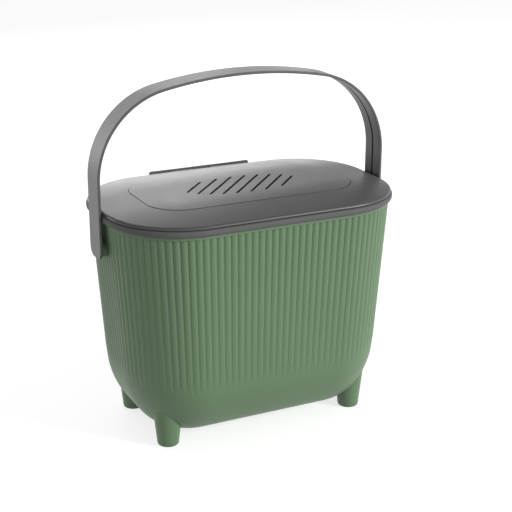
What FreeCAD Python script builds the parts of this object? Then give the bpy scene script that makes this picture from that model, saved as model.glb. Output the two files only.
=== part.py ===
import FreeCAD, Part
import math
import os
import Sketcher

# Kitchen compost caddy: a reeded bucket on four pegs, a rim collar with a hinged lid,
# a lift-off vent cover over a carbon filter, and a strap handle that swings over the top.
# Millimetres. X runs along the long side, the hinge is at +Y, Z is up from the worktop.
# Pieces are drawn about the middle of the lid, and placed so that the middle of the whole
# object, hinge knuckles included, stands over the origin.

Vector = FreeCAD.Vector
doc = FreeCAD.newDocument("compost_caddy")
sheet = doc.addObject("Spreadsheet::Sheet", "Sizes")

SIZES = (
    # Outline that the lid and the collar share, and the heights they meet at
    ("lid_length", 270.0),
    ("lid_depth", 169.6),
    ("lid_corner", 67.0),
    ("rim_height", 204.0),
    ("collar_height", 6.5),
    ("seam_gap", 0.6),
    # Bucket
    ("rim_inset", 1.2),
    ("bucket_wall", 2.1),
    ("lip_height", 2.4),
    ("lip_step", 0.4),
    ("taper_ends", 13.8),
    ("taper_sides", 9.0),
    ("taper_corner", 8.0),
    ("base_height", 10.0),
    ("bottom_round_in", 38.0),
    ("bottom_round_up", 58.0),
    ("reed_pitch", 6.4),
    ("reed_depth", 1.2),
    ("reed_low_depth", 0.6),
    ("reed_full_height", 72.0),
    ("reed_fade_height", 55.0),
    # Feet
    ("foot_inset", 31.6),
    ("foot_radius", 9.6),
    ("foot_top_radius", 14.6),
    ("foot_length", 50.0),
    ("foot_round", 2.2),
    # Rim collar
    ("collar_bulge", 1.4),
    ("collar_round", 2.6),
    ("skirt_clearance", 0.7),
    ("skirt_wall", 1.8),
    ("skirt_drop", 6.0),
    # Lid
    ("lid_edge_flat", 0.6),
    ("lid_edge_height", 2.4),
    ("lid_edge_run", 2.0),
    ("lid_edge_sag", 0.4),
    ("lid_rise", 4.2),
    ("lid_sag", 0.3),
    ("lid_shell", 2.5),
    ("lid_shell_thinning", 0.8),
    ("plug_clearance", 0.9),
    ("plug_wall", 1.8),
    ("plug_drop", 5.0),
    ("seal_inset", 4.0),
    ("seal_width", 3.0),
    ("seal_height", 1.7),
    ("seal_clearance", 0.2),
    ("seal_gap", 0.3),
    # Vent cover, its seat and its slots
    ("cover_margin", 36.0),
    ("cover_gap", 0.5),
    ("cover_edge", 2.2),
    ("cover_proud", 0.3),
    ("cover_flat_corner", 5.0),
    ("cover_crown_rise", 1.1),
    ("cover_plate", 3.0),
    ("cover_lip_wall", 1.4),
    ("cover_lip_drop", 2.8),
    ("cover_lip_clearance", 0.5),
    ("slot_count", 8),
    ("slot_pitch", 14.3),
    ("slot_width", 2.3),
    ("slot_angle", 47.0),
    ("slot_field_length", 110.6),
    ("slot_field_depth", 50.8),
    # Filter tray and filter
    ("tray_ledge", 5.0),
    ("frame_width", 4.0),
    ("frame_depth", 2.7),
    ("tray_flange", 1.3),
    ("tray_clearance", 0.4),
    ("tray_wall", 1.6),
    ("tray_slot_count", 13),
    ("tray_slot_pitch", 11.0),
    ("tray_slot_width", 3.4),
    ("tray_slot_length", 52.0),
    ("filter_clearance", 0.6),
    ("filter_seat_gap", 0.3),
    ("filter_top_gap", 0.2),
    ("filter_thickness", 5.6),
    ("filter_round", 1.5),
    # Rear hinge
    ("barrel_gap", 0.5),
    ("hinge_drop", 1.5),
    ("hinge_length", 101.0),
    ("knuckle_radius", 4.5),
    ("knuckle_gap", 0.4),
    ("middle_knuckle", 16.0),
    ("lid_knuckle", 24.0),
    ("knuckle_bite", 2.5),
    ("web_drop", 1.0),
    ("pin_radius", 1.5),
    ("pin_hold", 0.02),
    ("pin_run", 0.05),
    # Handle and its pivots
    ("leg_gap", 0.7),
    ("strap_width", 26.0),
    ("strap_thickness", 2.4),
    ("strap_round", 0.6),
    ("groove_width", 2.2),
    ("groove_depth", 0.8),
    ("pivot_depth", 25.5),
    ("leg_end_drop", 8.6),
    ("handle_corner", 75.1),
    ("crown_rise", 6.2),
    ("grip_height", 100.5),
    ("boss_radius", 8.2),
    ("boss_gap", 0.5),
    ("stub_radius", 3.0),
    ("stub_run", 0.05),
    ("stub_end", 3.2),
    ("cap_radius", 6.0),
    ("cap_length", 4.4),
    ("cap_rim", 2.6),
    ("cap_gap", 0.8),
    ("cap_hold", 0.02),
)

for row, (alias, number) in enumerate(SIZES, 1):
    sheet.set("A%d" % row, alias)
    sheet.set("B%d" % row, str(number))
    sheet.setAlias("B%d" % row, alias)
doc.recompute()


def size(alias):
    return float(sheet.get(alias))


def value(expression):
    return float(sheet.evalExpression(expression))


def cell(alias):
    return "Sizes." + alias


def total(*terms):
    return "(" + " + ".join("(" + term + ")" for term in terms) + ")"


def less(first, *terms):
    return "((" + first + ")" + "".join(" - (" + term + ")" for term in terms) + ")"


# Heights and insets that more than one piece uses, as formulas of the sheet

HALF_LENGTH = cell("lid_length") + " / 2"
HALF_DEPTH = cell("lid_depth") + " / 2"
SEAM = total(cell("rim_height"), cell("collar_height"))
COLLAR_TOP = less(SEAM, cell("seam_gap") + " / 2")
LID_BOTTOM = total(SEAM, cell("seam_gap") + " / 2")
LID_EDGE_LOW = total(LID_BOTTOM, cell("lid_edge_flat"))
LID_EDGE_TOP = total(LID_BOTTOM, cell("lid_edge_height"))
LID_SURFACE = total(LID_EDGE_TOP, cell("lid_rise"))
COVER_SEAT = less(LID_SURFACE, cell("cover_edge"))
COVER_EDGE_TOP = total(LID_SURFACE, cell("cover_proud"))
COVER_TOP = total(COVER_EDGE_TOP, cell("cover_crown_rise"))
COVER_UNDER = less(COVER_TOP, cell("cover_plate"))

INNER_RIM = total(cell("rim_inset"), cell("lip_step"), cell("reed_depth"), cell("bucket_wall"))
SKIRT_OUT = total(INNER_RIM, cell("skirt_clearance"))
SKIRT_IN = total(SKIRT_OUT, cell("skirt_wall"))
PLUG_OUT = total(SKIRT_IN, cell("plug_clearance"))
PLUG_IN = total(PLUG_OUT, cell("plug_wall"))
SEAL_END = total(cell("seal_inset"), cell("seal_width"))
COVER_OUT = total(cell("cover_margin"), cell("cover_gap"))
CROWN_END = less(cell("lid_corner"), cell("cover_flat_corner"))
CROWN_WIDTH = less(CROWN_END, COVER_OUT)
LEDGE_IN = total(cell("cover_margin"), cell("tray_ledge"))
FRAME_IN = total(LEDGE_IN, cell("frame_width"))
FRAME_OUT = less(cell("cover_margin"), cell("lid_shell"))
TRAY_OUT = total(FRAME_IN, cell("tray_clearance"))
TRAY_IN = total(TRAY_OUT, cell("tray_wall"))
COVER_LIP_OUT = total(TRAY_IN, cell("cover_lip_clearance"))
COVER_LIP_IN = total(COVER_LIP_OUT, cell("cover_lip_wall"))
FILTER_OUT = total(TRAY_IN, cell("filter_clearance"))

TRAY_REST = less(COVER_SEAT, cell("tray_flange"), cell("filter_seat_gap"))
FILTER_TOP = less(COVER_SEAT, cell("cover_lip_drop"), cell("filter_top_gap"))
FILTER_BOTTOM = less(FILTER_TOP, cell("filter_thickness"))
TRAY_FLOOR_TOP = less(FILTER_BOTTOM, cell("filter_seat_gap"))
TRAY_FLOOR = less(TRAY_FLOOR_TOP, cell("tray_wall"))
FRAME_BOTTOM = less(TRAY_REST, cell("frame_depth"))

HINGE_Y = total(HALF_DEPTH, cell("collar_bulge"), cell("barrel_gap"), cell("knuckle_radius"))
HINGE_Z = less(SEAM, cell("hinge_drop"))
LEG_X = total(HALF_LENGTH, cell("collar_bulge"), cell("leg_gap"))
BOSS_X = less(LEG_X, cell("boss_gap"))
PIVOT_Z = less(cell("rim_height"), cell("pivot_depth"))
GRIP_TOP = total(COVER_TOP, cell("grip_height"))
ARCH_RISE = total(cell("handle_corner"), cell("crown_rise"))
SPRING_Z = less(GRIP_TOP, ARCH_RISE)

FRONT_REACH = total(HALF_DEPTH, cell("collar_bulge"))
REAR_REACH = total(HINGE_Y, cell("knuckle_radius"))
MIDDLE_SHIFT = "(%s - %s) / 2" % (FRONT_REACH, REAR_REACH)

# Steps of the modelling: angles round the bottom's curve, the least height between two
# sections, and how far a cutter runs past what it cuts
ROUND_ANGLES = (80, 70, 60, 50, 40, 30, 20)
LEAST_STEP = 3.0
CUT_MARGIN = 1.0


# Sketch helpers

def origin_plane(body, role):
    return [item for item in body.Origin.OriginFeatures if item.Role == role][0]


def new_sketch(body, name, role, lift="0"):
    sketch = body.newObject("Sketcher::SketchObject", name)
    sketch.AttachmentSupport = [(origin_plane(body, role), "")]
    sketch.MapMode = "FlatFace"
    sketch.setExpression("AttachmentOffset.Base.z", lift)
    return sketch


def bind(sketch, kind, first, last, expression):
    # Distance of a point from the origin, stated so that it is never negative
    amount = value(expression)
    if amount >= 0:
        index = sketch.addConstraint(Sketcher.Constraint(kind, -1, 1, first, last, amount))
        sketch.setExpression("Constraints[%d]" % index, expression)
    else:
        index = sketch.addConstraint(Sketcher.Constraint(kind, first, last, -1, 1, -amount))
        sketch.setExpression("Constraints[%d]" % index, "-(" + expression + ")")


def bind_radius(sketch, geometry, expression):
    index = sketch.addConstraint(Sketcher.Constraint("Radius", geometry, value(expression)))
    sketch.setExpression("Constraints[%d]" % index, expression)


def chain(sketch, corners, radii, closed=True):
    # Lines and arcs through corners; radii maps a run's index to (radius, turns left)
    places = [Vector(value(across), value(up), 0) for across, up in corners]
    runs = len(places) if closed else len(places) - 1
    pieces = []
    for index in range(runs):
        start = places[index]
        end = places[(index + 1) % len(places)]
        if index in radii:
            expression, turns_left = radii[index]
            radius = value(expression)
            along = end - start
            side = Vector(-along.y, along.x, 0).normalize()
            reach = math.sqrt(max(radius ** 2 - (along.Length / 2) ** 2, 0))
            center = (start + end) * 0.5 + side * (reach if turns_left else -reach)
            begin, finish = (start, end) if turns_left else (end, start)
            low = math.atan2(begin.y - center.y, begin.x - center.x)
            high = math.atan2(finish.y - center.y, finish.x - center.x)
            circle = Part.Circle(center, Vector(0, 0, 1), radius)
            arc = Part.ArcOfCircle(circle, low, high)
            piece = sketch.addGeometry(arc, False)
            ends = (1, 2) if turns_left else (2, 1)
        else:
            piece = sketch.addGeometry(Part.LineSegment(start, end), False)
            ends = (1, 2)
        pieces.append((piece, ends))
    for index in range(runs if closed else runs - 1):
        here, ends = pieces[index]
        after, after_ends = pieces[(index + 1) % runs]
        sketch.addConstraint(Sketcher.Constraint("Coincident", here, ends[1], after, after_ends[0]))
    for index, (across, up) in enumerate(corners):
        at_last = index == len(corners) - 1 and not closed
        piece, ends = pieces[-1] if at_last else pieces[index]
        corner = ends[1] if at_last else ends[0]
        bind(sketch, "DistanceX", piece, corner, across)
        bind(sketch, "DistanceY", piece, corner, up)
    for index, (expression, turns_left) in radii.items():
        bind_radius(sketch, pieces[index][0], expression)
    return pieces


def outline_corners(inset):
    # Rounded rectangle that lies a set distance inside the lid's outline
    length = less(HALF_LENGTH, inset)
    depth = less(HALF_DEPTH, inset)
    flat_length = less(HALF_LENGTH, cell("lid_corner"))
    flat_depth = less(HALF_DEPTH, cell("lid_corner"))
    corners = (
        (length, "-(" + flat_depth + ")"),
        (length, flat_depth),
        (flat_length, depth),
        ("-(" + flat_length + ")", depth),
        ("-(" + length + ")", flat_depth),
        ("-(" + length + ")", "-(" + flat_depth + ")"),
        ("-(" + flat_length + ")", "-(" + depth + ")"),
        (flat_length, "-(" + depth + ")"),
    )
    radius = less(cell("lid_corner"), inset)
    radii = {1: (radius, True), 3: (radius, True), 5: (radius, True), 7: (radius, True)}
    return corners, radii


def outline_sketch(body, name, inset, lift):
    sketch = new_sketch(body, name, "XY_Plane", lift)
    corners, radii = outline_corners(inset)
    chain(sketch, corners, radii)
    return sketch


def section(points):
    # Points of a moulding's cross section, given as inset from the outline and height
    return [(less(HALF_LENGTH, inset), height) for inset, height in points]


def swept_ring(body, name, points, radii=None):
    # A cross section carried round the lid's outline
    path = outline_sketch(body, name + "_path", "0", SEAM)
    profile = new_sketch(body, name + "_section", "XZ_Plane")
    chain(profile, section(points), radii or {})
    ring = body.newObject("PartDesign::AdditivePipe", name)
    ring.Profile = profile
    ring.Spine = (path, [])
    doc.recompute()
    return ring


def plate(body, name, inset, lift, thickness):
    # A flat plate of the outline's shape
    pad = body.newObject("PartDesign::Pad", name)
    pad.Profile = outline_sketch(body, name + "_outline", inset, lift)
    pad.setExpression("Length", thickness)
    doc.recompute()
    return pad


def round_edges(body, name, chosen, radius):
    # Rounds the edges of the tip whose middle and box the chooser accepts
    base = body.Tip
    edges = []
    for index, edge in enumerate(base.Shape.Edges, 1):
        middle = edge.valueAt((edge.FirstParameter + edge.LastParameter) / 2)
        if chosen(edge, middle):
            edges.append("Edge%d" % index)
    fillet = body.newObject("PartDesign::Fillet", name)
    fillet.Base = (base, edges)
    fillet.setExpression("Radius", radius)
    doc.recompute()
    return fillet


def outline_inset(point):
    # How far inside the lid's outline a point lies
    corner = size("lid_corner")
    over_x = abs(point.x) - (size("lid_length") / 2 - corner)
    over_y = abs(point.y) - (size("lid_depth") / 2 - corner)
    if over_x > 0 and over_y > 0:
        return corner - math.hypot(over_x, over_y)
    return corner - max(over_x, over_y)


def level_edge(edge, height):
    box = edge.BoundBox
    return box.ZLength < 1e-4 and abs(box.ZMin - height) < 1e-4


def along_x(body, name, start, length, corners, radii=None):
    # A prism along X, from its outline in the YZ plane
    sketch = new_sketch(body, name + "_outline", "YZ_Plane", start)
    chain(sketch, corners, radii or {})
    pad = body.newObject("PartDesign::Pad", name)
    pad.Profile = sketch
    pad.setExpression("Length", length)
    doc.recompute()
    return pad


def round_along_x(body, name, kind, start, length, across, up, radius):
    # A round bar, or a bore, along X
    sketch = new_sketch(body, name + "_circle", "YZ_Plane", start)
    middle = Vector(value(across), value(up), 0)
    circle = sketch.addGeometry(Part.Circle(middle, Vector(0, 0, 1), value(radius)), False)
    bind(sketch, "DistanceX", circle, 3, across)
    bind(sketch, "DistanceY", circle, 3, up)
    bind_radius(sketch, circle, radius)
    feature = body.newObject(kind, name)
    feature.Profile = sketch
    feature.setExpression("Length", length)
    if kind == "PartDesign::Pocket":
        feature.Reversed = True
    doc.recompute()
    return feature


def knuckle(body, name, start, length, web):
    # One hinge knuckle: a round barrel and the web that carries it
    along_x(body, name + "_web", start, length, web)
    round_along_x(body, name + "_barrel", "PartDesign::Pad", start, length,
                  HINGE_Y, HINGE_Z, cell("knuckle_radius"))


def hinge_bore(body, radius):
    start = "-(" + cell("hinge_length") + ") / 2"
    before = body.Tip.Shape.Volume
    round_along_x(body, body.Name + "_pin_bore", "PartDesign::Pocket", start,
                  cell("hinge_length"), HINGE_Y, HINGE_Z, radius)
    if body.Tip.Shape.Volume >= before:
        raise RuntimeError(body.Name + ": the pin bore removed nothing")


def slot_corners(middle, half_length, half_width, angle):
    # Corners of a straight slot with round ends, anticlockwise
    along = Vector(math.cos(angle), math.sin(angle), 0)
    side = Vector(-along.y, along.x, 0)
    reach = half_length - half_width
    return (
        middle - along * reach - side * half_width,
        middle + along * reach - side * half_width,
        middle + along * reach + side * half_width,
        middle - along * reach + side * half_width,
    )


def slot_cutter(corners, half_width, low, high):
    start, end, back, front = corners
    along = (end - start).normalize()
    far = (end + back) * 0.5 + along * half_width
    near = (start + front) * 0.5 - along * half_width
    wire = Part.Wire((
        Part.LineSegment(start, end).toShape(),
        Part.Arc(end, far, back).toShape(),
        Part.LineSegment(back, front).toShape(),
        Part.Arc(front, near, start).toShape(),
    ))
    prism = Part.Face(wire).extrude(Vector(0, 0, high - low))
    prism.translate(Vector(0, 0, low))
    return prism


def cut_slots(source, name, cutters):
    # The finished piece: a moulded body with a row of slots cut through it
    tool = doc.addObject("Part::Feature", name + "_slots")
    tool.Shape = Part.makeCompound(cutters)
    cut = doc.addObject("Part::Cut", name)
    cut.Base = source
    cut.Tool = tool
    doc.recompute()
    return cut


# Bucket: reeded outside, smooth inside, with a round boss at each end for the handle

RIM_HALF_LENGTH = size("lid_length") / 2 - size("rim_inset")
RIM_HALF_DEPTH = size("lid_depth") / 2 - size("rim_inset")
RIM_CORNER = size("lid_corner") - size("rim_inset")
WALL_RUN = size("rim_height") - size("base_height")
BASE_ANGLE = math.radians(ROUND_ANGLES[0])
ROUND_TOP = size("base_height") + size("bottom_round_up") * math.sin(BASE_ANGLE)


def bucket_sizes(height, inset):
    # Half length, half depth and corner of the bucket's outline at a height
    share = (size("rim_height") - height) / WALL_RUN
    if height < ROUND_TOP:
        sine = (ROUND_TOP - height) / size("bottom_round_up")
        inset += size("bottom_round_in") * (1 - math.sqrt(1 - sine ** 2))
    return (
        RIM_HALF_LENGTH - size("taper_ends") * share - inset,
        RIM_HALF_DEPTH - size("taper_sides") * share - inset,
        RIM_CORNER - size("taper_corner") * share - inset,
    )


def outline_place(sizes, side, share, height):
    # A point on a rounded rectangle, and the direction out of it
    half_length, half_depth, corner = sizes
    flat_length = half_length - corner
    flat_depth = half_depth - corner
    quarter = (side // 2) * math.pi / 2
    if side % 2 == 0:
        runs = (
            (Vector(half_length, -flat_depth, height), Vector(half_length, flat_depth, height)),
            (Vector(flat_length, half_depth, height), Vector(-flat_length, half_depth, height)),
            (Vector(-half_length, flat_depth, height), Vector(-half_length, -flat_depth, height)),
            (Vector(-flat_length, -half_depth, height), Vector(flat_length, -half_depth, height)),
        )
        start, end = runs[side // 2]
        return start + (end - start) * share, Vector(math.cos(quarter), math.sin(quarter), 0)
    centers = (
        Vector(flat_length, flat_depth, height),
        Vector(-flat_length, flat_depth, height),
        Vector(-flat_length, -flat_depth, height),
        Vector(flat_length, -flat_depth, height),
    )
    angle = quarter + share * math.pi / 2
    out = Vector(math.cos(angle), math.sin(angle), 0)
    return centers[side // 2] + out * corner, out


def reed_stations():
    # Where each reed starts and where its crest lies, as a side and a share of that side
    flat_length = 2 * (RIM_HALF_LENGTH - RIM_CORNER)
    flat_depth = 2 * (RIM_HALF_DEPTH - RIM_CORNER)
    bend = RIM_CORNER * math.pi / 2
    lengths = (flat_depth, bend, flat_length, bend, flat_depth, bend, flat_length, bend)
    stations = []
    for side, length in enumerate(lengths):
        count = max(1, round(length / size("reed_pitch")))
        stations += [(side, step / (2 * count)) for step in range(2 * count)]
    return stations


def arc_or_line(start, through, end):
    chord = end - start
    if (through - start).cross(chord).Length < 1e-6 * chord.Length:
        return Part.LineSegment(start, end).toShape()
    return Part.Arc(start, through, end).toShape()


def reeded_wire(height, inset, depth, stations):
    # Crests lie on the outline and the lines between reeds lie in from it
    sizes = bucket_sizes(height, inset)
    places = []
    for index, (side, share) in enumerate(stations):
        place, out = outline_place(sizes, side, share, height)
        places.append(place - out * depth if index % 2 == 0 else place)
    edges = []
    for index in range(0, len(places), 2):
        after = places[(index + 2) % len(places)]
        edges.append(arc_or_line(places[index], places[index + 1], after))
    return Part.Wire(edges)


def plain_wire(height, inset):
    sizes = bucket_sizes(height, inset)
    edges = []
    for side in range(8):
        start = outline_place(sizes, side, 0, height)[0]
        through = outline_place(sizes, side, 0.5, height)[0]
        end = outline_place(sizes, side, 1, height)[0]
        edges.append(arc_or_line(start, through, end))
    return Part.Wire(edges)


def round_heights():
    up = size("bottom_round_up")
    return [ROUND_TOP - up * math.sin(math.radians(angle)) for angle in ROUND_ANGLES]


stations = reed_stations()
lip_low = size("rim_height") - size("lip_height")
fade_low = size("reed_fade_height")
fade_high = size("reed_full_height")
wall_inset = size("lip_step") + size("reed_depth") + size("bucket_wall")
bowl_heights = [height for height in round_heights() if height < fade_low - LEAST_STEP]
bowl_heights.append(fade_low)

# The underside is a smooth bowl; the reeds are deepest at the rim and fade into it
bowl = Part.makeLoft([plain_wire(height, size("lip_step")) for height in bowl_heights], True, False)
reeded = Part.makeLoft([
    reeded_wire(fade_low, size("lip_step"), 0, stations),
    reeded_wire(fade_high, size("lip_step"), size("reed_low_depth"), stations),
    reeded_wire(lip_low, size("lip_step"), size("reed_depth"), stations),
], True, True)
lip = Part.Face(plain_wire(lip_low, 0)).extrude(Vector(0, 0, size("lip_height")))

# The hollow follows the outside one wall in, and opens through the rim
hollow_wires = [plain_wire(height, wall_inset) for height in bowl_heights]
for wire in hollow_wires:
    wire.translate(Vector(0, 0, size("bucket_wall")))
hollow_mouth = plain_wire(size("rim_height"), wall_inset)
hollow_bowl = Part.makeLoft(hollow_wires, True, False)
hollow_wall = Part.makeLoft([hollow_wires[-1], hollow_mouth], True, True)

pivot_height = value(PIVOT_Z)
boss_root = bucket_sizes(pivot_height, wall_inset)[0]
boss_length = value(BOSS_X) - boss_root
bosses = []
bores = []
for hand in (-1, 1):
    away = Vector(hand, 0, 0)
    root = Vector(hand * boss_root, 0, pivot_height)
    bosses.append(Part.makeCylinder(size("boss_radius"), boss_length, root, away))
    bore_start = Vector(hand * (boss_root - size("boss_radius")), 0, pivot_height)
    bore_length = boss_length + 2 * size("boss_radius")
    bore_radius = size("stub_radius") + size("stub_run")
    bores.append(Part.makeCylinder(bore_radius, bore_length, bore_start, away))

bucket_bowl = doc.addObject("Part::Feature", "bucket_bowl")
bucket_bowl.Shape = bowl
bucket = doc.addObject("Part::Feature", "bucket")
solid = bowl.fuse(reeded).fuse([lip] + bosses)
bucket.Shape = solid.cut(hollow_bowl.fuse(hollow_wall)).cut(bores)


# Feet: tapered pegs at the corners' diagonals, trimmed to the underside that they stand against

def foot(name, hand_x, hand_y):
    peg = doc.addObject("Part::Cone", name + "_peg")
    peg.setExpression("Radius1", cell("foot_radius"))
    peg.setExpression("Radius2", cell("foot_top_radius"))
    peg.setExpression("Height", cell("foot_length"))
    diagonal = "(%s) / sqrt(2)" % less(cell("lid_corner"), cell("foot_inset"))
    place_x = total(less(HALF_LENGTH, cell("lid_corner")), diagonal)
    place_y = total(less(HALF_DEPTH, cell("lid_corner")), diagonal)
    peg.setExpression("Placement.Base.x", "%d * (%s)" % (hand_x, place_x))
    peg.setExpression("Placement.Base.y", "%d * (%s)" % (hand_y, place_y))
    doc.recompute()
    toe = [index for index, edge in enumerate(peg.Shape.Edges, 1) if level_edge(edge, 0)]
    rounded = doc.addObject("Part::Fillet", name + "_rounded")
    rounded.Base = peg
    rounded.Edges = [(index, size("foot_round"), size("foot_round")) for index in toe]
    doc.recompute()
    trimmed = doc.addObject("Part::Cut", name)
    trimmed.Base = rounded
    trimmed.Tool = bucket_bowl
    doc.recompute()
    return trimmed


feet = [
    foot("foot_front_left", -1, -1),
    foot("foot_front_right", 1, -1),
    foot("foot_rear_left", -1, 1),
    foot("foot_rear_right", 1, 1),
]


# Rim collar: sits on the bucket's rim, and carries the fixed half of the hinge

collar = doc.addObject("PartDesign::Body", "rim_collar")
swept_ring(collar, "collar_ring", (
    ("-(" + cell("collar_bulge") + ")", cell("rim_height")),
    ("-(" + cell("collar_bulge") + ")", COLLAR_TOP),
    (SKIRT_IN, COLLAR_TOP),
    (SKIRT_IN, less(cell("rim_height"), cell("skirt_drop"))),
    (SKIRT_OUT, less(cell("rim_height"), cell("skirt_drop"))),
    (SKIRT_OUT, cell("rim_height")),
))
round_edges(collar, "collar_nose", lambda edge, middle: (
    outline_inset(middle) < 0
    and (level_edge(edge, size("rim_height")) or level_edge(edge, value(COLLAR_TOP)))
), cell("collar_round"))

collar_web = (
    (less(HALF_DEPTH, cell("knuckle_bite")), less(HINGE_Z, cell("knuckle_radius"))),
    (HINGE_Y, less(HINGE_Z, cell("knuckle_radius"))),
    (HINGE_Y, HINGE_Z),
    (less(HALF_DEPTH, cell("knuckle_bite")), HINGE_Z),
)
knuckle(collar, "collar_knuckle_middle", "-(" + cell("middle_knuckle") + ") / 2",
        cell("middle_knuckle"), collar_web)
END_START = total(cell("middle_knuckle") + " / 2", cell("lid_knuckle"), "2 * " + cell("knuckle_gap"))
END_LENGTH = less(cell("hinge_length") + " / 2", END_START)
knuckle(collar, "collar_knuckle_right", END_START, END_LENGTH, collar_web)
knuckle(collar, "collar_knuckle_left", "-(" + cell("hinge_length") + ") / 2", END_LENGTH, collar_web)
hinge_bore(collar, total(cell("pin_radius"), cell("pin_hold")))


# Lid: one crowned moulding with a plug below, a seal groove and the vent opening

lid = doc.addObject("PartDesign::Body", "lid")
SEAL_GROOVE_OUT = less(cell("seal_inset"), cell("seal_clearance"))
SEAL_GROOVE_IN = total(SEAL_END, cell("seal_clearance"))
SEAL_BOTTOM = total(COLLAR_TOP, cell("seal_gap"))
SEAL_TOP = total(SEAL_BOTTOM, cell("seal_height"))
CEILING_OUT = total(less(LID_EDGE_TOP, cell("lid_shell")), cell("lid_shell_thinning"))
CEILING_IN = less(LID_SURFACE, cell("lid_shell"))
PLUG_BOTTOM = less(LID_BOTTOM, cell("plug_drop"))


def bowed_radius(run, rise, sag):
    # Radius of an arc over a run and a rise that stands the sag above its chord
    chord_square = "((%s)^2 + (%s)^2)" % (run, rise)
    return "(%s / 4 + (%s)^2) / (2 * %s)" % (chord_square, sag, sag)


EDGE_RADIUS = bowed_radius(cell("lid_edge_run"), less(LID_EDGE_TOP, LID_EDGE_LOW), cell("lid_edge_sag"))
CROWN_RUN = less(cell("cover_margin"), cell("lid_edge_run"))
CROWN_RADIUS = bowed_radius(CROWN_RUN, cell("lid_rise"), cell("lid_sag"))
swept_ring(lid, "lid_ring", (
    ("0", LID_BOTTOM),
    ("0", LID_EDGE_LOW),
    (cell("lid_edge_run"), LID_EDGE_TOP),
    (cell("cover_margin"), LID_SURFACE),
    (cell("cover_margin"), COVER_SEAT),
    (LEDGE_IN, COVER_SEAT),
    (LEDGE_IN, TRAY_REST),
    (FRAME_IN, TRAY_REST),
    (FRAME_IN, FRAME_BOTTOM),
    (FRAME_OUT, FRAME_BOTTOM),
    (FRAME_OUT, CEILING_IN),
    (PLUG_IN, CEILING_OUT),
    (PLUG_IN, PLUG_BOTTOM),
    (PLUG_OUT, PLUG_BOTTOM),
    (PLUG_OUT, LID_BOTTOM),
    (SEAL_GROOVE_IN, LID_BOTTOM),
    (SEAL_GROOVE_IN, SEAL_TOP),
    (SEAL_GROOVE_OUT, SEAL_TOP),
    (SEAL_GROOVE_OUT, LID_BOTTOM),
), {1: (EDGE_RADIUS, True), 2: (CROWN_RADIUS, True)})

LID_WEB_TOP = less(total(HINGE_Z, cell("knuckle_radius")), cell("web_drop"))
lid_web = (
    (less(HALF_DEPTH, cell("knuckle_bite")), LID_BOTTOM),
    (HINGE_Y, LID_BOTTOM),
    (HINGE_Y, LID_WEB_TOP),
    (less(HALF_DEPTH, cell("knuckle_bite")), LID_WEB_TOP),
)
LID_KNUCKLE_START = total(cell("middle_knuckle") + " / 2", cell("knuckle_gap"))
knuckle(lid, "lid_knuckle_right", LID_KNUCKLE_START, cell("lid_knuckle"), lid_web)
knuckle(lid, "lid_knuckle_left", "-(" + total(LID_KNUCKLE_START, cell("lid_knuckle")) + ")",
        cell("lid_knuckle"), lid_web)
hinge_bore(lid, total(cell("pin_radius"), cell("pin_run")))

seal = doc.addObject("PartDesign::Body", "lid_seal")
swept_ring(seal, "seal_ring", (
    (cell("seal_inset"), SEAL_BOTTOM),
    (cell("seal_inset"), SEAL_TOP),
    (SEAL_END, SEAL_TOP),
    (SEAL_END, SEAL_BOTTOM),
))

hinge_pin = doc.addObject("Part::Cylinder", "hinge_pin")
hinge_pin.Placement = FreeCAD.Placement(Vector(), FreeCAD.Rotation(Vector(0, 1, 0), 90))
hinge_pin.setExpression("Radius", cell("pin_radius"))
hinge_pin.setExpression("Height", cell("hinge_length"))
hinge_pin.setExpression("Placement.Base.x", "-(" + cell("hinge_length") + ") / 2")
hinge_pin.setExpression("Placement.Base.y", total(HINGE_Y, MIDDLE_SHIFT))
hinge_pin.setExpression("Placement.Base.z", HINGE_Z)


# Vent cover: a crowned panel in the lid's rebate, with slots that fill an oval

cover = doc.addObject("PartDesign::Body", "vent_cover_blank")
COVER_RADIUS = "((%s)^2 + (%s)^2) / (2 * %s)" % (
    CROWN_WIDTH, cell("cover_crown_rise"), cell("cover_crown_rise"))
swept_ring(cover, "cover_ring", (
    (COVER_OUT, COVER_SEAT),
    (COVER_OUT, COVER_EDGE_TOP),
    (CROWN_END, COVER_TOP),
    (CROWN_END, COVER_UNDER),
    (COVER_LIP_IN, COVER_UNDER),
    (COVER_LIP_IN, less(COVER_SEAT, cell("cover_lip_drop"))),
    (COVER_LIP_OUT, less(COVER_SEAT, cell("cover_lip_drop"))),
    (COVER_LIP_OUT, COVER_SEAT),
), {1: (COVER_RADIUS, True)})
round_edges(cover, "cover_nose", lambda edge, middle: (
    abs(outline_inset(middle) - value(COVER_OUT)) < 1e-3 and level_edge(edge, value(COVER_EDGE_TOP))
), cell("cover_proud"))
plate(cover, "cover_panel", CROWN_END, COVER_UNDER, cell("cover_plate"))


def vent_cutters():
    # Slanted slots at an even pitch, each as long as the oval field lets it be
    angle = math.radians(size("slot_angle"))
    half_width = size("slot_width") / 2
    field_a = size("slot_field_length") / 2
    field_b = size("slot_field_depth") / 2
    slope = Vector(math.cos(angle), math.sin(angle), 0)
    count = int(size("slot_count"))
    cutters = []
    for index in range(count):
        start = (index - (count - 1) / 2) * size("slot_pitch")
        square = (slope.x / field_a) ** 2 + (slope.y / field_b) ** 2
        linear = start * slope.x / field_a ** 2
        rest = (start / field_a) ** 2 - 1
        spread = math.sqrt(linear ** 2 - square * rest) / square
        middle = Vector(start, 0, 0) + slope * (-linear / square)
        corners = slot_corners(middle, spread, half_width, angle)
        cutters.append(slot_cutter(corners, half_width, value(COVER_SEAT), value(COVER_TOP) + CUT_MARGIN))
    return cutters


vent_cover = cut_slots(cover, "vent_cover", vent_cutters())


# Filter tray: hangs by its flange in the lid's opening, with a slotted floor

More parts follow.
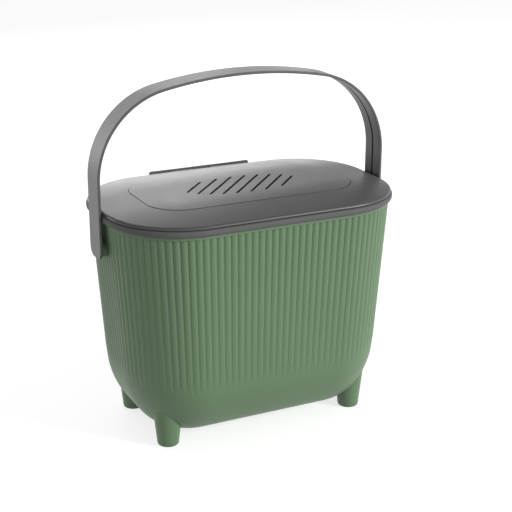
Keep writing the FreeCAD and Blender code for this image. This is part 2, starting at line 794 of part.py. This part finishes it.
tray = doc.addObject("PartDesign::Body", "filter_tray_blank")
TRAY_FLANGE_OUT = total(LEDGE_IN, cell("tray_clearance"))
swept_ring(tray, "tray_ring", (
    (TRAY_FLANGE_OUT, TRAY_REST),
    (TRAY_FLANGE_OUT, total(TRAY_REST, cell("tray_flange"))),
    (TRAY_IN, total(TRAY_REST, cell("tray_flange"))),
    (TRAY_IN, TRAY_FLOOR),
    (TRAY_OUT, TRAY_FLOOR),
    (TRAY_OUT, TRAY_REST),
))
plate(tray, "tray_floor", TRAY_IN, TRAY_FLOOR, cell("tray_wall"))


def tray_cutters():
    half_width = size("tray_slot_width") / 2
    half_length = size("tray_slot_length") / 2
    count = int(size("tray_slot_count"))
    cutters = []
    for index in range(count):
        middle = Vector((index - (count - 1) / 2) * size("tray_slot_pitch"), 0, 0)
        corners = slot_corners(middle, half_length, half_width, math.pi / 2)
        low = value(TRAY_FLOOR) - CUT_MARGIN
        high = value(TRAY_FLOOR_TOP) + CUT_MARGIN
        cutters.append(slot_cutter(corners, half_width, low, high))
    return cutters


filter_tray = cut_slots(tray, "filter_tray", tray_cutters())

filter_pad = doc.addObject("PartDesign::Body", "filter_pad")
plate(filter_pad, "filter_felt", FILTER_OUT, FILTER_BOTTOM, cell("filter_thickness"))
round_edges(filter_pad, "filter_soft_edge", lambda edge, middle: (
    level_edge(edge, value(FILTER_BOTTOM)) or level_edge(edge, value(FILTER_TOP))
), cell("filter_round"))


# Handle: a strap bent into a flat arch, with a rounded end and a pivot stub on each leg

handle = doc.addObject("PartDesign::Body", "handle")
ARCH_SIDE = less(LEG_X, cell("handle_corner"))
ARCH_RADIUS = "(((%s)^2 + (%s)^2 - (%s)^2) / (2 * %s))" % (
    ARCH_SIDE, ARCH_RISE, cell("handle_corner"), cell("crown_rise"))
ARCH_GAIN = "((%s) / ((%s) - %s))" % (cell("handle_corner"), ARCH_RADIUS, cell("handle_corner"))
TURN_X = "(%s) * (1 + %s)" % (ARCH_SIDE, ARCH_GAIN)
TURN_Z = total(SPRING_Z, "(%s - %s) * %s" % (ARCH_RADIUS, ARCH_RISE, ARCH_GAIN))

arch_path = new_sketch(handle, "arch_path", "XZ_Plane")
chain(arch_path, (
    (LEG_X, PIVOT_Z),
    (LEG_X, SPRING_Z),
    (TURN_X, TURN_Z),
    ("-(" + TURN_X + ")", TURN_Z),
    ("-(" + LEG_X + ")", SPRING_Z),
    ("-(" + LEG_X + ")", PIVOT_Z),
), {1: (cell("handle_corner"), True), 2: (ARCH_RADIUS, True), 3: (cell("handle_corner"), True)},
    closed=False)

HALF_STRAP = cell("strap_width") + " / 2"
HALF_GROOVE = cell("groove_width") + " / 2"
GROOVE_X = total(LEG_X, cell("groove_depth"))
OUTER_X = total(LEG_X, cell("strap_thickness"))
strap_section = new_sketch(handle, "strap_section", "XY_Plane", PIVOT_Z)
chain(strap_section, (
    (LEG_X, "-(" + HALF_STRAP + ")"),
    (OUTER_X, "-(" + HALF_STRAP + ")"),
    (OUTER_X, HALF_STRAP),
    (LEG_X, HALF_STRAP),
    (LEG_X, HALF_GROOVE),
    (GROOVE_X, HALF_GROOVE),
    (GROOVE_X, "-(" + HALF_GROOVE + ")"),
    (LEG_X, "-(" + HALF_GROOVE + ")"),
), {})
strap = handle.newObject("PartDesign::AdditivePipe", "strap")
strap.Profile = strap_section
strap.Spine = (arch_path, [])
doc.recompute()

LEG_LOW = less(PIVOT_Z, cell("leg_end_drop"))
LEG_FLAT = less(HALF_STRAP, cell("leg_end_drop"))
leg_end = (
    ("-(" + HALF_STRAP + ")", PIVOT_Z),
    ("-(" + LEG_FLAT + ")", LEG_LOW),
    (LEG_FLAT, LEG_LOW),
    (HALF_STRAP, PIVOT_Z),
)
leg_end_radii = {0: (cell("leg_end_drop"), True), 2: (cell("leg_end_drop"), True)}

STUB_REACH = total(cell("boss_gap"), str(boss_length), cell("cap_gap"), cell("stub_end"))
for side_name, end_start, stub_start in (
        ("right", LEG_X, less(LEG_X, STUB_REACH)),
        ("left", "-(" + OUTER_X + ")", "-(" + LEG_X + ")")):
    along_x(handle, "leg_end_" + side_name, end_start, cell("strap_thickness"), leg_end, leg_end_radii)
    round_along_x(handle, "pivot_stub_" + side_name, "PartDesign::Pad", stub_start,
                  STUB_REACH, "0", PIVOT_Z, cell("stub_radius"))


def on_strap_side(edge, middle):
    # Long edges and rounded ends of the strap, and neither its groove nor its stubs
    box = edge.BoundBox
    long_side = box.ZLength > 1e-4 and box.YLength < 1e-4 and abs(middle.y) > size("strap_width") / 2 - 1e-3
    off_stub = math.hypot(middle.y, middle.z - value(PIVOT_Z)) > size("stub_radius") + 1e-3
    end_edge = box.XLength < 1e-4 and middle.z < value(PIVOT_Z) and off_stub
    return long_side or end_edge


round_edges(handle, "strap_soft_edges", on_strap_side, cell("strap_round"))


# Pivot caps: pressed on the stubs inside the bucket, so that the handle can't spring off

def pivot_cap(name, hand):
    body = doc.addObject("PartDesign::Body", name)
    half = new_sketch(body, name + "_section", "XZ_Plane")
    bore = total(cell("stub_radius"), cell("cap_hold"))
    chain(half, (
        (bore, "0"),
        (cell("cap_radius"), "0"),
        (cell("cap_radius"), cell("cap_rim")),
        (less(cell("cap_radius"), cell("cap_length"), "-(" + cell("cap_rim") + ")"), cell("cap_length")),
        ("0", cell("cap_length")),
        ("0", cell("stub_end")),
        (bore, cell("stub_end")),
    ), {})
    turned = body.newObject("PartDesign::Revolution", name + "_turned")
    turned.Profile = half
    turned.ReferenceAxis = (half, ["V_Axis"])
    turned.Angle = 360
    doc.recompute()
    turn = FreeCAD.Rotation(Vector(0, 0, 1), Vector(-hand, 0, 0))
    body.Placement = FreeCAD.Placement(Vector(), turn)
    face = less(BOSS_X, str(boss_length), cell("cap_gap"))
    body.setExpression("Placement.Base.x", "%d * (%s)" % (hand, face))
    body.setExpression("Placement.Base.z", PIVOT_Z)
    doc.recompute()
    return body


caps = [pivot_cap("pivot_cap_left", -1), pivot_cap("pivot_cap_right", 1)]


# Every piece is put in its place, and tested before any is written

pieces = [bucket, collar, lid, seal, vent_cover, filter_tray, filter_pad, handle] + feet + caps
for piece in pieces:
    piece.setExpression("Placement.Base.y", MIDDLE_SHIFT)
pieces.append(hinge_pin)
doc.recompute()
for item in doc.Objects:
    if "Invalid" in item.State or "Error" in item.State:
        raise RuntimeError("failed feature: " + item.Name)
for piece in pieces:
    piece.Label = piece.Name
    if piece.Shape.isNull() or not piece.Shape.isValid() or len(piece.Shape.Solids) != 1:
        raise RuntimeError("bad shape: " + piece.Name)

os.makedirs("parts", exist_ok=True)
for piece in pieces:
    piece.Shape.exportStep(os.path.join("parts", piece.Label + ".step"))
    box = piece.Shape.BoundBox
    print("%-18s %9.0f mm3  x %.1f..%.1f  y %.1f..%.1f  z %.1f..%.1f" % (
        piece.Label, piece.Shape.Volume, box.XMin, box.XMax, box.YMin, box.YMax, box.ZMin, box.ZMax))
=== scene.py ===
import math

import bmesh
import bpy
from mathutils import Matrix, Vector, noise


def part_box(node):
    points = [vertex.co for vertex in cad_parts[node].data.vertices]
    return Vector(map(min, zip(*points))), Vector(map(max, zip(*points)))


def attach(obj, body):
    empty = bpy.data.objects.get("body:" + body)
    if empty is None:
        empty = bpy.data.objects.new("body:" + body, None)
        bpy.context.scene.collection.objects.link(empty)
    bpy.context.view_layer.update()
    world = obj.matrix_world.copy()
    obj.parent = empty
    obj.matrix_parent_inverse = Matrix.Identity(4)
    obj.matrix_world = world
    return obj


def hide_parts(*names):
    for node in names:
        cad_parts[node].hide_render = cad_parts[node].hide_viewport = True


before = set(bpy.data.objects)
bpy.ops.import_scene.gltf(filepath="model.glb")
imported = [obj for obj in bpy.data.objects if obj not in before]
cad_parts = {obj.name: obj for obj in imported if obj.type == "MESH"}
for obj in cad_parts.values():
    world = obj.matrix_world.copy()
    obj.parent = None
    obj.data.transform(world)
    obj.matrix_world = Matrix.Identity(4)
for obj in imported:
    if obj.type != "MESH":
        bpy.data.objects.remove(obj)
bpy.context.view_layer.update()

# Kitchen compost caddy: finishes for the moulded pieces, a soft filter, soft studio light and
# the photograph's camera. Metres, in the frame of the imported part.

# The seal is centred on the bucket, which lies a little in front of the origin, because the hinge
# reaches back
SEAL_LOW, SEAL_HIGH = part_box("lid_seal")
MIDDLE_Y = (SEAL_LOW.y + SEAL_HIGH.y) / 2

# Camera, fitted to the photograph; the principal point is in pixels of the 512 pixel frame
FRAME_PIXELS = 512
CAMERA_AZIMUTH = math.radians(25.759)
CAMERA_ELEVATION = math.radians(20.339)
CAMERA_DISTANCE = 1.1534
CAMERA_TARGET = Vector((0.0, MIDDLE_Y, 0.12536))
FOCAL_PIXELS = 1249.34
PRINCIPAL_POINT = (240.81, 281.56)
SENSOR_WIDTH = 36.0

# Colours as the surfaces themselves have, in linear values, and the darker painted shade that is mixed in
# where a crease encloses a surface
GREEN = (0.152, 0.252, 0.136)
GREEN_CREASE_SHADE = (0.070, 0.125, 0.060)
GREY = (0.102, 0.102, 0.102)
GREY_CREASE_SHADE = (0.055, 0.055, 0.055)
COLLAR_GREY = (0.128, 0.128, 0.128)
HANDLE_GREY = (0.110, 0.110, 0.110)
HANDLE_CREASE_SHADE = (0.010, 0.010, 0.010)
SLOT_PAINTED_SHADE = (0.020, 0.020, 0.020)
TRAY_GREY = (0.030, 0.030, 0.032)
RUBBER_GREY = (0.020, 0.020, 0.021)
STEEL = (0.52, 0.52, 0.53)
FELT_DARK = (0.006, 0.006, 0.007)
FELT_LIGHT = (0.030, 0.030, 0.033)
FLOOR_WHITE = (0.52, 0.52, 0.52)
PLAIN_WHITE = (1.0, 1.0, 1.0, 1.0)

# Moulded plastic: scales are per metre, and depths are in metres
GRAIN_SCALE = 2600.0
GRAIN_DETAIL = 3.0
GRAIN_STRENGTH = 0.12
GRAIN_DEPTH = 0.00008
CLOUD_SCALE = 14.0
CLOUD_START = 0.3
CLOUD_END = 0.7
CLOUD_SHARE = 0.35
CLOUD_GAIN = 1.06
GLOSS_SCALE = 60.0
GLOSS_SPREAD = 0.04
# Samples for the painted crease shade, and the openness from which no painted shade is mixed in
CREASE_SHADE_SAMPLES = 8
FULLY_OPEN = 0.95

# Drawn steel, with lines along the pin
LINE_STRETCH = (0.02, 1.0, 1.0)
LINE_SCALE = 2400.0
LINE_DETAIL = 4.0
LINE_GAIN = 0.75
LINE_STRENGTH = 0.15
LINE_DEPTH = 0.00003
STEEL_ROUGHNESS = (0.22, 0.38)

# Seal rubber
RUBBER_SCALE = 1400.0
RUBBER_DETAIL = 4.0
RUBBER_GAIN = 0.6
RUBBER_STRENGTH = 0.2
RUBBER_DEPTH = 0.0001
RUBBER_ROUGHNESS = (0.62, 0.78)

# Felt: single fibres and the tufts that they gather in
FIBRE_SCALE = 900.0
FIBRE_DETAIL = 6.0
FIBRE_STRENGTH = 0.6
FIBRE_DEPTH = 0.0006
FIBRE_ROUGHNESS = (0.85, 1.0)
TUFT_SCALE = 220.0
TUFT_DETAIL = 4.0
TUFT_START = 0.12
TUFT_END = 0.42
FELT_SHEEN = 0.25

# Floor
FLOOR_HALF = 6.0
FLOOR_LIFT = 0.74
FLOOR_ROUGHNESS = 0.9
FLOOR_SPECULAR = 0.1
PAPER_SCALE = 3.0
PAPER_GAIN = 0.99

# Surround: white up to one height of the sky, darker from another, as shares of its radius
WORLD_LIGHT = 0.38
HORIZON_LIGHT = 1.0
CEILING_LIGHT = 0.3
HORIZON_TOP = 0.12
CEILING_FROM = 0.4

# Filter pad: steps of its mesh, then its shape
FELT_STEPS_ROUND = 160
FELT_RINGS = 18
FELT_CORNER = 0.45
FELT_REACH = 0.98
FELT_CROWN = 0.0012
FELT_EDGE = 0.004
FELT_LUMP = 0.00035
LUMP_SCALE = 160.0
UNDERSIDE_LUMPS = 0.2


def new_object(name, data):
    created = bpy.data.objects.new(name, data)
    bpy.context.scene.collection.objects.link(created)
    return created


# Node helpers

def new_tree(name):
    material = bpy.data.materials.new(name)
    material.use_nodes = True
    tree = material.node_tree
    tree.nodes.clear()
    output = tree.nodes.new("ShaderNodeOutputMaterial")
    shader = tree.nodes.new("ShaderNodeBsdfPrincipled")
    tree.links.new(shader.outputs["BSDF"], output.inputs["Surface"])
    return material, tree, shader


def add_node(tree, kind, settings=(), inputs=()):
    node = tree.nodes.new(kind)
    for name, setting in dict(settings).items():
        setattr(node, name, setting)
    for name, source in dict(inputs).items():
        if isinstance(source, bpy.types.NodeSocket):
            tree.links.new(source, node.inputs[name])
        else:
            node.inputs[name].default_value = source
    return node


def math_value(tree, operation, first, second):
    inputs = {0: first, 1: second}
    return add_node(tree, "ShaderNodeMath", {"operation": operation}, inputs).outputs[0]


def object_place(tree):
    return add_node(tree, "ShaderNodeTexCoord").outputs["Object"]


def noise_value(tree, place, scale, detail=2.0):
    inputs = {"Vector": place, "Scale": scale, "Detail": detail}
    return add_node(tree, "ShaderNodeTexNoise", inputs=inputs).outputs["Fac"]


def remap(tree, source, low, high, start=0.0, end=1.0):
    inputs = {"Value": source, "From Min": start, "From Max": end, "To Min": low, "To Max": high}
    return add_node(tree, "ShaderNodeMapRange", inputs=inputs).outputs["Result"]


def mixed_color(tree, share, first, second):
    node = add_node(tree, "ShaderNodeMix", {"data_type": "RGBA"})
    color_inputs = [socket for socket in node.inputs if socket.type == "RGBA"]
    for socket, source in zip(color_inputs, (first, second)):
        if isinstance(source, bpy.types.NodeSocket):
            tree.links.new(source, socket)
        else:
            socket.default_value = (*source, 1.0)
    tree.links.new(share, node.inputs["Factor"])
    return [socket for socket in node.outputs if socket.type == "RGBA"][0]


def bump(tree, height, strength, distance):
    inputs = {"Height": height, "Strength": strength, "Distance": distance}
    return add_node(tree, "ShaderNodeBump", inputs=inputs).outputs["Normal"]


def wire(tree, shader, color, roughness, normal):
    tree.links.new(color, shader.inputs["Base Color"])
    tree.links.new(roughness, shader.inputs["Roughness"])
    tree.links.new(normal, shader.inputs["Normal"])


def scaled(color, gain):
    return tuple(channel * gain for channel in color)


# Materials

def moulded_plastic(name, color, crease_shade, roughness, crease_shade_reach, deepest):
    # Fine eroded grain, faint cloudy tones, and painted shade: the colour darkens towards the crease
    # colour where ambient occlusion finds a crease enclosing the surface
    material, tree, shader = new_tree(name)
    place = object_place(tree)
    grain = noise_value(tree, place, GRAIN_SCALE, GRAIN_DETAIL)
    cloud = noise_value(tree, place, CLOUD_SCALE)
    crease = add_node(tree, "ShaderNodeAmbientOcclusion", {"samples": CREASE_SHADE_SAMPLES},
                      {"Distance": crease_shade_reach})
    # Painted shade: how open the surface is sets how much of the darker crease colour is mixed in
    unshaded_share = remap(tree, crease.outputs["AO"], 0.0, 1.0, deepest, FULLY_OPEN)
    base = mixed_color(tree, unshaded_share, crease_shade, color)
    cloud_share = remap(tree, cloud, 0.0, CLOUD_SHARE, CLOUD_START, CLOUD_END)
    cloudy = mixed_color(tree, cloud_share, base, scaled(color, CLOUD_GAIN))
    uneven = noise_value(tree, place, GLOSS_SCALE)
    gloss = remap(tree, uneven, roughness - GLOSS_SPREAD, roughness + GLOSS_SPREAD)
    wire(tree, shader, cloudy, gloss, bump(tree, grain, GRAIN_STRENGTH, GRAIN_DEPTH))
    return material


def drawn_steel(name):
    material, tree, shader = new_tree(name)
    inputs = {"Vector": object_place(tree), "Scale": LINE_STRETCH}
    stretch = add_node(tree, "ShaderNodeMapping", inputs=inputs)
    lines = noise_value(tree, stretch.outputs["Vector"], LINE_SCALE, LINE_DETAIL)
    color = mixed_color(tree, lines, scaled(STEEL, LINE_GAIN), STEEL)
    gloss = remap(tree, lines, *STEEL_ROUGHNESS)
    wire(tree, shader, color, gloss, bump(tree, lines, LINE_STRENGTH, LINE_DEPTH))
    shader.inputs["Metallic"].default_value = 1.0
    return material


def soft_rubber(name):
    material, tree, shader = new_tree(name)
    grain = noise_value(tree, object_place(tree), RUBBER_SCALE, RUBBER_DETAIL)
    color = mixed_color(tree, grain, scaled(RUBBER_GREY, RUBBER_GAIN), RUBBER_GREY)
    gloss = remap(tree, grain, *RUBBER_ROUGHNESS)
    wire(tree, shader, color, gloss, bump(tree, grain, RUBBER_STRENGTH, RUBBER_DEPTH))
    return material


def needled_felt(name):
    material, tree, shader = new_tree(name)
    place = object_place(tree)
    fibres = noise_value(tree, place, FIBRE_SCALE, FIBRE_DETAIL)
    tufts = noise_value(tree, place, TUFT_SCALE, TUFT_DETAIL)
    both = math_value(tree, "MULTIPLY", fibres, tufts)
    share = remap(tree, both, 0.0, 1.0, TUFT_START, TUFT_END)
    color = mixed_color(tree, share, FELT_DARK, FELT_LIGHT)
    gloss = remap(tree, fibres, *FIBRE_ROUGHNESS)
    wire(tree, shader, color, gloss, bump(tree, fibres, FIBRE_STRENGTH, FIBRE_DEPTH))
    shader.inputs["Sheen Weight"].default_value = FELT_SHEEN
    return material


def seen_share(tree):
    # 1 for what the camera sees, straight or in reflections and through clear things, else 0
    path = tree.nodes.new("ShaderNodeLightPath")
    share = path.outputs["Is Camera Ray"]
    for name in ("Is Glossy Ray", "Is Transmission Ray"):
        share = math_value(tree, "MAXIMUM", share, path.outputs[name])
    return share


def white_floor(name):
    material, tree, shader = new_tree(name)
    paper = noise_value(tree, object_place(tree), PAPER_SCALE)
    color = mixed_color(tree, paper, scaled(FLOOR_WHITE, PAPER_GAIN), FLOOR_WHITE)
    tree.links.new(color, shader.inputs["Base Color"])
    shader.inputs["Roughness"].default_value = FLOOR_ROUGHNESS
    shader.inputs["Specular IOR Level"].default_value = FLOOR_SPECULAR
    lift = math_value(tree, "MULTIPLY", seen_share(tree), FLOOR_LIFT)
    tree.links.new(lift, shader.inputs["Emission Strength"])
    shader.inputs["Emission Color"].default_value = PLAIN_WHITE
    return material


def finish_node(name, material):
    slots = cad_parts[name].data.materials
    slots.clear()
    slots.append(material)


# Each finish gives how far, in metres, painted shade reaches into the surface from a crease; the painted
# shade is darkest where the surface is no more open than deepest
green_plastic = moulded_plastic("green_plastic", GREEN, GREEN_CREASE_SHADE,
                                roughness=0.46, crease_shade_reach=0.004, deepest=0.25)
grey_plastic = moulded_plastic("grey_plastic", GREY, GREY_CREASE_SHADE,
                               roughness=0.36, crease_shade_reach=0.0015, deepest=0.25)
collar_plastic = moulded_plastic("collar_plastic", COLLAR_GREY, GREY_CREASE_SHADE,
                                 roughness=0.72, crease_shade_reach=0.0015, deepest=0.25)
# The vent cover's slots and the handle's groove get darker painted shade than the other pieces
cover_plastic = moulded_plastic("cover_plastic", GREY, SLOT_PAINTED_SHADE,
                                roughness=0.36, crease_shade_reach=0.004, deepest=0.5)
handle_plastic = moulded_plastic("handle_plastic", HANDLE_GREY, HANDLE_CREASE_SHADE,
                                 roughness=0.36, crease_shade_reach=0.003, deepest=0.6)
tray_plastic = moulded_plastic("tray_plastic", TRAY_GREY, TRAY_GREY,
                               roughness=0.5, crease_shade_reach=0.004, deepest=0.25)
NODE_FINISHES = {
    green_plastic: ("bucket", "foot_front_left", "foot_front_right", "foot_rear_left", "foot_rear_right"),
    grey_plastic: ("lid",),
    collar_plastic: ("rim_collar",),
    cover_plastic: ("vent_cover",),
    handle_plastic: ("handle", "pivot_cap_left", "pivot_cap_right"),
    tray_plastic: ("filter_tray",),
    soft_rubber("seal_rubber"): ("lid_seal",),
    drawn_steel("pin_steel"): ("hinge_pin",),
}
for finish, names in NODE_FINISHES.items():
    for name in names:
        finish_node(name, finish)


# Filter: a needled felt pad with a soft crown and a pressed edge

def rounded_outline(half_length, half_depth, corner, count):
    # Points round a rounded rectangle, evenly along its length
    flat_x = half_length - corner
    flat_y = half_depth - corner
    centers = ((flat_x, flat_y), (-flat_x, flat_y), (-flat_x, -flat_y), (flat_x, -flat_y))
    starts = ((half_length, -flat_y), (flat_x, half_depth),
              (-half_length, flat_y), (-flat_x, -half_depth))
    quarter = math.pi * corner / 2
    runs = (2 * flat_y, quarter, 2 * flat_x, quarter) * 2
    length = sum(runs)
    points = []
    for index in range(count):
        along = index * length / count
        side = 0
        while along > runs[side]:
            along -= runs[side]
            side += 1
        turn = (side // 2) * math.pi / 2
        if side % 2:
            angle = turn + along / corner
            x, y = centers[side // 2]
            points.append((x + corner * math.cos(angle), y + corner * math.sin(angle)))
        else:
            x, y = starts[side // 2]
            points.append((x - along * math.sin(turn), y + along * math.cos(turn)))
    return points


def felt_pad():
    low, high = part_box("filter_pad")
    middle = (low + high) / 2
    half_length = (high.x - low.x) / 2
    half_depth = (high.y - low.y) / 2
    half_height = (high.z - low.z) / 2 - FELT_CROWN
    outline = rounded_outline(half_length, half_depth, half_depth * FELT_CORNER, FELT_STEPS_ROUND)
    mesh = bmesh.new()

    def felt_ring(side, share):
        # One ring, a share of the way from the edge to the middle; side is 1 above and -1 below
        inset = 1 - share * FELT_REACH
        edge = min(1.0, share * half_depth / FELT_EDGE)
        swell = math.sqrt(1 - (1 - edge) ** 2)
        crown = FELT_CROWN * (1 - inset ** 2) if side > 0 else 0
        lumps = 1 if side > 0 else UNDERSIDE_LUMPS
        ring = []
        for x, y in outline:
            place = Vector((middle.x + x * inset, middle.y + y * inset, 0))
            lump = FELT_LUMP * swell * noise.noise(place * LUMP_SCALE) * lumps
            place.z = middle.z + side * (half_height * swell + crown + lump)
            ring.append(mesh.verts.new(place))
        return ring

    rings = [felt_ring(1, step / FELT_RINGS) for step in reversed(range(FELT_RINGS))]
    rings += [felt_ring(-1, step / FELT_RINGS) for step in range(1, FELT_RINGS + 1)]
    count = len(outline)
    for upper, lower in zip(rings, rings[1:]):
        for index in range(count):
            after = (index + 1) % count
            mesh.faces.new((upper[index], lower[index], lower[after], upper[after]))
    mesh.faces.new(rings[0])
    mesh.faces.new(rings[-1][::-1])
    bmesh.ops.recalc_face_normals(mesh, faces=mesh.faces)
    data = bpy.data.meshes.new("filter_felt")
    mesh.to_mesh(data)
    mesh.free()
    data.shade_smooth()
    data.materials.append(needled_felt("carbon_felt"))
    return new_object("filter_felt", data)


felt = felt_pad()
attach(felt, "lid_body")
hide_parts("filter_pad")


# Floor, light and camera

def make_floor():
    data = bpy.data.meshes.new("floor")
    corners = [(-FLOOR_HALF, -FLOOR_HALF, 0), (FLOOR_HALF, -FLOOR_HALF, 0),
               (FLOOR_HALF, FLOOR_HALF, 0), (-FLOOR_HALF, FLOOR_HALF, 0)]
    data.from_pydata(corners, [], [(0, 1, 2, 3)])
    data.materials.append(white_floor("floor_white"))
    floor = new_object("floor", data)


def make_world():
    # A white surround for what the camera and the reflections see, and softer light from it
    world = bpy.data.worlds.new("studio")
    world.use_nodes = True
    tree = world.node_tree
    tree.nodes.clear()
    output = tree.nodes.new("ShaderNodeOutputWorld")
    soft = add_node(tree, "ShaderNodeBackground", inputs={"Color": PLAIN_WHITE, "Strength": WORLD_LIGHT})
    white = add_node(tree, "ShaderNodeBackground", inputs={"Color": PLAIN_WHITE})
    place = add_node(tree, "ShaderNodeTexCoord").outputs["Generated"]
    height = add_node(tree, "ShaderNodeSeparateXYZ", inputs={"Vector": place}).outputs["Z"]
    fading = remap(tree, height, HORIZON_LIGHT, CEILING_LIGHT, HORIZON_TOP, CEILING_FROM)
    tree.links.new(fading, white.inputs["Strength"])
    mix = add_node(tree, "ShaderNodeMixShader")
    for index, source in enumerate((seen_share(tree), soft.outputs[0], white.outputs[0])):
        tree.links.new(source, mix.inputs[index])
    tree.links.new(mix.outputs[0], output.inputs["Surface"])
    bpy.context.scene.world = world


def area_light(name, place, aim, width, height, watts):
    data = bpy.data.lights.new(name, "AREA")
    data.shape = "RECTANGLE"
    data.size = width
    data.size_y = height
    data.energy = watts
    lamp = new_object(name, data)
    lamp.location = place
    lamp.rotation_euler = (Vector(aim) - Vector(place)).to_track_quat("-Z", "Y").to_euler()


def make_camera():
    data = bpy.data.cameras.new("photo_camera")
    data.sensor_width = SENSOR_WIDTH
    data.sensor_fit = "HORIZONTAL"
    data.lens = SENSOR_WIDTH * FOCAL_PIXELS / FRAME_PIXELS
    data.shift_x = (FRAME_PIXELS / 2 - PRINCIPAL_POINT[0]) / FRAME_PIXELS
    data.shift_y = (PRINCIPAL_POINT[1] - FRAME_PIXELS / 2) / FRAME_PIXELS
    camera = new_object("photo_camera", data)
    level = math.cos(CAMERA_ELEVATION)
    away = Vector((-math.sin(CAMERA_AZIMUTH) * level, -math.cos(CAMERA_AZIMUTH) * level,
                   math.sin(CAMERA_ELEVATION)))
    camera.location = CAMERA_TARGET + away * CAMERA_DISTANCE
    camera.rotation_euler = (-away).to_track_quat("-Z", "Y").to_euler()
    bpy.context.scene.camera = camera


make_floor()
make_world()
area_light("key", place=(1.4, -1.65, 0.95), aim=(0.0, 0.0, 0.12),
           width=0.5, height=0.5, watts=31.0)
area_light("backdrop_low", place=(-0.15, 1.9, 0.31), aim=(-0.15, 0.0, 0.31),
           width=2.7, height=0.6, watts=8.8)
area_light("backdrop_left", place=(-0.3, 1.9, 1.03), aim=(-0.1, 0.0, 0.4),
           width=2.5, height=0.9, watts=11.0)
make_camera()
bpy.context.scene.view_settings.view_transform = "Standard"
